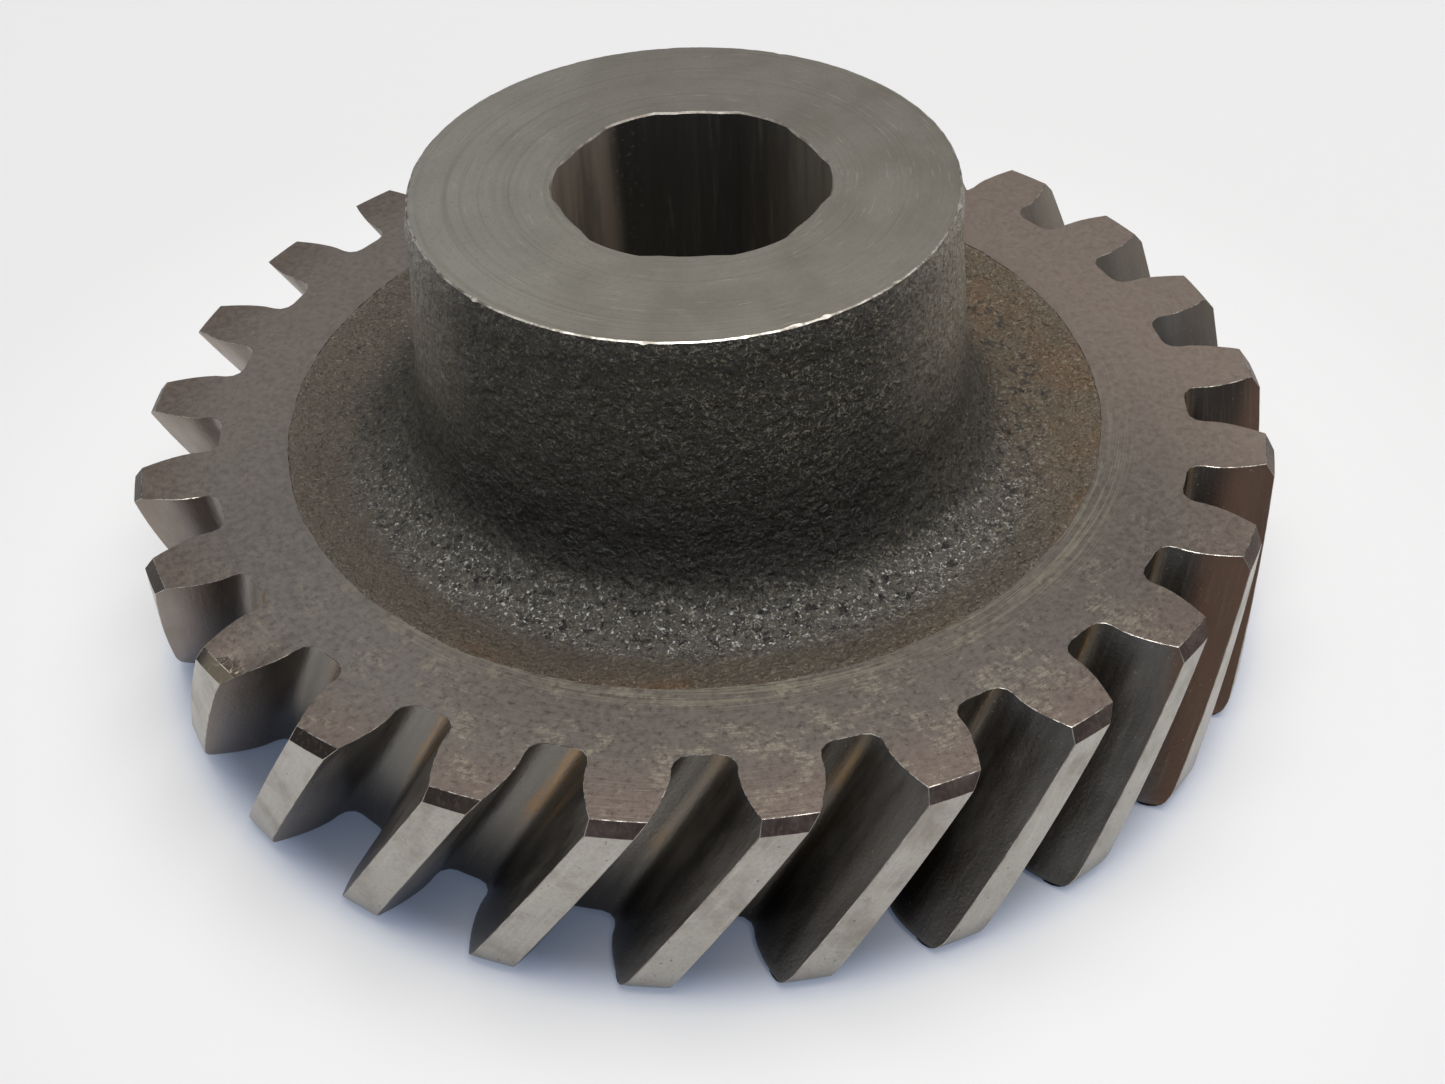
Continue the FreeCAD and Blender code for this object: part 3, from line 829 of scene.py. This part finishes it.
def flank_material():
    """Cut flanks and roots: dark oily metal with fine grit, grey roots and browner flanks on the
    right; painted light on the left flanks, a painted tan reflection high in the spaces, and
    painted shade low down and on the right roots."""
    paint = Paint("tooth_flank_cut", 1.0, 0.42)
    straight = paint.attribute("straight")
    x, y, height = paint.parts(straight)
    turned = paint.math("SUBTRACT", paint.math("ARCTAN2", y, x), TOOTH_PHASE)
    # 0 and 1 are the middles of two teeth, and 0.5 is the middle of the space between them
    across = paint.math("FRACT", paint.math("DIVIDE", turned, TOOTH_ANGLE))
    _, radius = paint.round_place(1, 1)
    streaks = paint.noise(paint.stretch(straight, 1, 1, 0.08), 0.45, 4.0, 0.65)
    film = paint.noise(paint.stretch(straight, 1, 1, 0.35), 5, 4.0, 0.6)
    grit = paint.noise(paint.place, 0.4, 2.0, 0.6)
    base = paint.mix(paint.ramp(film, 0.3, 0.7), colour(92, 87, 81), colour(126, 121, 114))
    # Painted reflection of the bright floor: the flanks on the left are lighter
    base = paint.lay(base, paint.facing(LEFT_DEG, 30, 60), 0.8, colour(142, 127, 114))
    base = paint.mix(paint.facing(RIGHT_DEG - 12, 52, 60), base, colour(78, 69, 62))
    base = paint.mix(paint.facing(RIGHT_DEG - 22, 58, 61), base, colour(119, 95, 79))
    base = paint.lay(base, paint.facing(16, 49, 58), 0.75, colour(136, 126, 113))
    # Grey roots, with painted shade that darkens them on the right
    root = paint.ramp_mm(radius, 58.5, 56.4)
    on_right = paint.facing(RIGHT_DEG - 20, 0, 40)
    root_grey_and_shade = paint.mix(on_right, colour(152, 147, 138), colour(70, 62, 51))
    base = paint.lay(base, root, 0.5, root_grey_and_shade)
    # Painted shade: darker low down in the spaces between the teeth
    deep = paint.times(paint.ramp_mm(height, 15, 4), paint.ramp_mm(radius, 62.5, 58.5))
    base = paint.lay(base, deep, 0.6, colour(57, 48, 40))
    # Painted reflection: a tan patch high on one side of each space, broken into patches and darker
    # on the right
    along = paint.math("ADD", across, paint.times(film, 0.2))
    side = paint.times(paint.ramp(along, 0.64, 0.71), paint.ramp(along, 0.82, 0.75))
    tan = paint.times(paint.ramp_mm(radius, 61.5, 58.5), paint.ramp_mm(height, 9, 16))
    tan = paint.times(paint.times(tan, side), paint.ramp(streaks, 0.35, 0.6, 0.2, 1.0))
    patchy = paint.ramp(paint.noise(paint.place, 13, 2.0, 0.5), 0.4, 0.6, 0.15, 0.85)
    tan_reflection = paint.mix(on_right, colour(172, 138, 96), colour(120, 98, 68))
    base = paint.mix(paint.times(tan, patchy), base, tan_reflection)
    base = paint.lay(base, paint.ramp(streaks, 0.52, 0.75), 0.2, colour(156, 150, 140))
    base = paint.lay(base, paint.ramp(grit, 0.69, 0.75), 0.5, colour(182, 174, 156))
    roughness = paint.ramp(film, 0.3, 0.7, 0.36, 0.52)
    normal = paint.bump(streaks, 0.02, paint.bump(grit, 0.04))
    return paint.finish(base, roughness, normal)


def edge_material(name, dull, bright, size_mm, roughness):
    """Rubbed corner: bare metal, broken by dull stretches."""
    paint = Paint(name, 1.0, roughness)
    broken = paint.noise(paint.place, size_mm, 5.0, 0.7)
    base = paint.mix(paint.ramp(broken, 0.4, 0.6), colour(*dull), colour(*bright))
    return paint.finish(base, None, paint.bump(broken, 0.02))


def bore_material():
    """Broached bore: black film with streaks along the axis, and painted light towards both sides.
    """
    paint = Paint("bore_broached", 0.5, 0.4)
    streaks = paint.noise(paint.stretch(paint.place, 1, 1, 0.06), 0.9, 4.0, 0.65)
    film = paint.noise(paint.stretch(paint.place, 1, 1, 0.15), 4, 4.0, 0.6)
    specks = paint.noise(paint.place, 0.6, 3.0, 0.6)
    base = paint.mix(film, colour(66, 65, 61), colour(102, 98, 90))
    # Painted light: the walls towards the left and right are lighter, where they catch light
    left = paint.times(paint.facing(LEFT_DEG, 7.5, 10), paint.ramp(film, 0.3, 0.6, 0.5, 1.0))
    right = paint.times(paint.facing(RIGHT_DEG, 8, 13), paint.ramp(film, 0.3, 0.6, 0.4, 0.9))
    base = paint.mix(left, base, colour(198, 180, 160))
    base = paint.mix(right, base, colour(170, 161, 143))
    base = paint.lay(base, paint.ramp(streaks, 0.55, 0.72), 0.3, colour(160, 149, 132))
    # Painted glints: light specks on the left wall
    bright = paint.times(paint.ramp(specks, 0.6, 0.66), paint.facing(LEFT_DEG, 4, 8))
    base = paint.lay(base, bright, 0.4, colour(170, 164, 150))
    roughness = paint.ramp(streaks, 0.3, 0.7, 0.34, 0.5)
    return paint.finish(base, roughness, paint.bump(streaks, 0.04))


def back_face_material():
    """Faced back, like the rim but plainer."""
    paint = Paint("back_face_turned", 1.0, 0.42)
    rings, _ = paint.round_place(3.0, 1.0)
    fine_rings = paint.noise(rings, detail=3.0, rough=0.6)
    clouds = paint.noise(paint.place, 13, 5.0, 0.6)
    base = paint.mix(clouds, colour(124, 112, 106), colour(146, 139, 130))
    base = paint.lay(base, paint.ramp(fine_rings, 0.55, 0.8), 0.3, colour(170, 163, 150))
    return paint.finish(base, paint.ramp(clouds, 0.3, 0.7, 0.36, 0.5), paint.bump(fine_rings, 0.02))


# ---------------------------------------------------------------- stage

def area_light(name, place, size, power, tint):
    """A round lamp that points at the gear."""
    data = bpy.data.lights.new(name, "AREA")
    data.shape = "DISK"
    data.size = size
    data.energy = power
    data.color = tint
    light = bpy.data.objects.new(name, data)
    bpy.context.scene.collection.objects.link(light)
    light.location = place
    light.rotation_euler = (LAMP_TARGET - place).to_track_quat("-Z", "Y").to_euler()
    return light


def build_floor():
    mesh = bpy.data.meshes.new("floor")
    around = [(-1, -1), (1, -1), (1, 1), (-1, 1)]
    corners = [(x * FLOOR_REACH, y * FLOOR_REACH, 0) for x, y in around]
    mesh.from_pydata(corners, [], [(0, 1, 2, 3)])
    paint = Paint("pale_floor", 0.0, 0.5)
    mesh.materials.append(paint.material)
    paint.shader.inputs["Base Color"].default_value = FLOOR_COLOUR
    # The floor glows as painted light, weak and bluish near the gear, which paints its shadow
    _, radius = paint.round_place(1, 1)
    glow = paint.mix(paint.ramp_mm(radius, 61, 69), GLOW_IN_SHADOW, GLOW_NEAR)
    glow = paint.mix(paint.ramp_mm(radius, 200, 900), glow, GLOW_FAR)
    paint.put(paint.shader.inputs["Emission Color"], glow)
    near = paint.ramp_mm(radius, 61, 68, 0.07, 0.36)
    # Painted shade: a little less glow a short way out
    dip = paint.ramp_mm(radius, 75, 120, 0.0, 0.06)
    # Far out, where the lamps no longer reach, more of it keeps the floor as pale as the room
    far = paint.ramp_mm(radius, 250, 1600, 0.0, 0.24)
    strength = paint.math("ADD", paint.math("SUBTRACT", near, dip), far)
    paint.put(paint.shader.inputs["Emission Strength"], strength)
    floor = bpy.data.objects.new("floor", mesh)
    floor.location.z = cad_low.z - FLOOR_GAP
    bpy.context.scene.collection.objects.link(floor)
    return floor


def build_world():
    """Soft room light: bright overhead and behind the gear, dim on the camera's side."""
    world = bpy.data.worlds.new("soft_room")
    world.use_nodes = True
    bpy.context.scene.world = world
    tree = world.node_tree
    background = tree.nodes["Background"]
    coordinates = tree.nodes.new("ShaderNodeTexCoord")
    toward = tree.nodes.new("ShaderNodeVectorMath")
    toward.operation = "DOT_PRODUCT"
    toward.inputs[1].default_value = (-0.75 * math.cos(FRONT), -0.75 * math.sin(FRONT), 0.66)
    tree.links.new(coordinates.outputs["Generated"], toward.inputs[0])
    ramp = tree.nodes.new("ShaderNodeValToRGB")
    ramp.color_ramp.interpolation = "EASE"
    ramp.color_ramp.elements[0].position = 0.0
    ramp.color_ramp.elements[0].color = ROOM_DIM
    ramp.color_ramp.elements[1].position = 1.0
    ramp.color_ramp.elements[1].color = ROOM_BRIGHT
    spread = tree.nodes.new("ShaderNodeMapRange")
    spread.inputs["From Min"].default_value = -0.2
    spread.inputs["From Max"].default_value = 0.9
    tree.links.new(toward.outputs["Value"], spread.inputs["Value"])
    tree.links.new(spread.outputs["Result"], ramp.inputs["Fac"])
    seen = tree.nodes.new("ShaderNodeLightPath")
    pick = tree.nodes.new("ShaderNodeMix")
    pick.data_type = "RGBA"
    tree.links.new(seen.outputs["Is Camera Ray"], pick.inputs[0])
    tree.links.new(ramp.outputs["Color"], pick.inputs[6])
    pick.inputs[7].default_value = ROOM_SEEN
    tree.links.new(pick.outputs[2], background.inputs["Color"])


def build_lights():
    back = Vector((-math.cos(FRONT), -math.sin(FRONT), 0))
    right = Vector((-math.sin(FRONT), math.cos(FRONT), 0))
    overhead = back * 0.1 + right * 0.1 + Vector((0, 0, 1.0))
    area_light("overhead", overhead, size=1.0, power=7.4, tint=(1.0, 0.97, 0.93))
    # A small window of light that only shows as glints
    window = Vector((0, 0, 0.9))
    glint = area_light("window", window, size=0.16, power=3.5, tint=(0.95, 0.98, 1.0))
    glint.visible_diffuse = False


def build_camera():
    """The camera stands on the front side and looks down at about 42 degrees."""
    out = Vector((math.cos(FRONT), math.sin(FRONT), 0))
    place = out * (CAMERA_DISTANCE * math.cos(CAMERA_ELEVATION))
    place += Vector((0, 0, CAMERA_DISTANCE * math.sin(CAMERA_ELEVATION)))
    forward = -place.normalized()
    right = Vector((-math.sin(FRONT), math.cos(FRONT), 0))
    up = right.cross(forward)

    def turn(first, second, angle):
        cos, sin = math.cos(angle), math.sin(angle)
        return cos * first + sin * second, cos * second - sin * first

    forward, right = turn(forward, right, CAMERA_PAN)
    forward, up = turn(forward, up, CAMERA_TILT)
    right, up = turn(right, up, CAMERA_ROLL)
    data = bpy.data.cameras.new("camera")
    data.sensor_width = CAMERA_SENSOR
    data.lens = CAMERA_LENS
    data.clip_start = 0.01
    data.clip_end = 20
    camera = bpy.data.objects.new("camera", data)
    bpy.context.scene.collection.objects.link(camera)
    for row in range(3):
        for column, axis in enumerate((right, up, -forward)):
            camera.matrix_world[row][column] = axis[row]
        camera.matrix_world[row][3] = place[row]
    bpy.context.scene.camera = camera


materials = {
    "bore": bore_material(),
    "hub_face": hub_face_material(),
    "cast": cast_material(),
    "rim_face": rim_face_material(),
    "chamfer": chamfer_material(),
    "land": land_material(),
    "flank": flank_material(),
    "edge": edge_material("worn_edge", (90, 84, 77), (178, 173, 165), 1.0, 0.38),
    "land_edge": edge_material("land_edge", (148, 138, 127), (186, 180, 170), 2.5, 0.4),
    "hub_edge": edge_material("hub_edge_burr", (112, 107, 99), (180, 176, 168), 1.4, 0.42),
    "back_face": back_face_material(),
}
gear = build_gear(materials)
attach(gear, "root")
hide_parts("helical_gear")
build_floor()
build_world()
build_lights()
build_camera()
bpy.context.scene.view_settings.view_transform = "Standard"
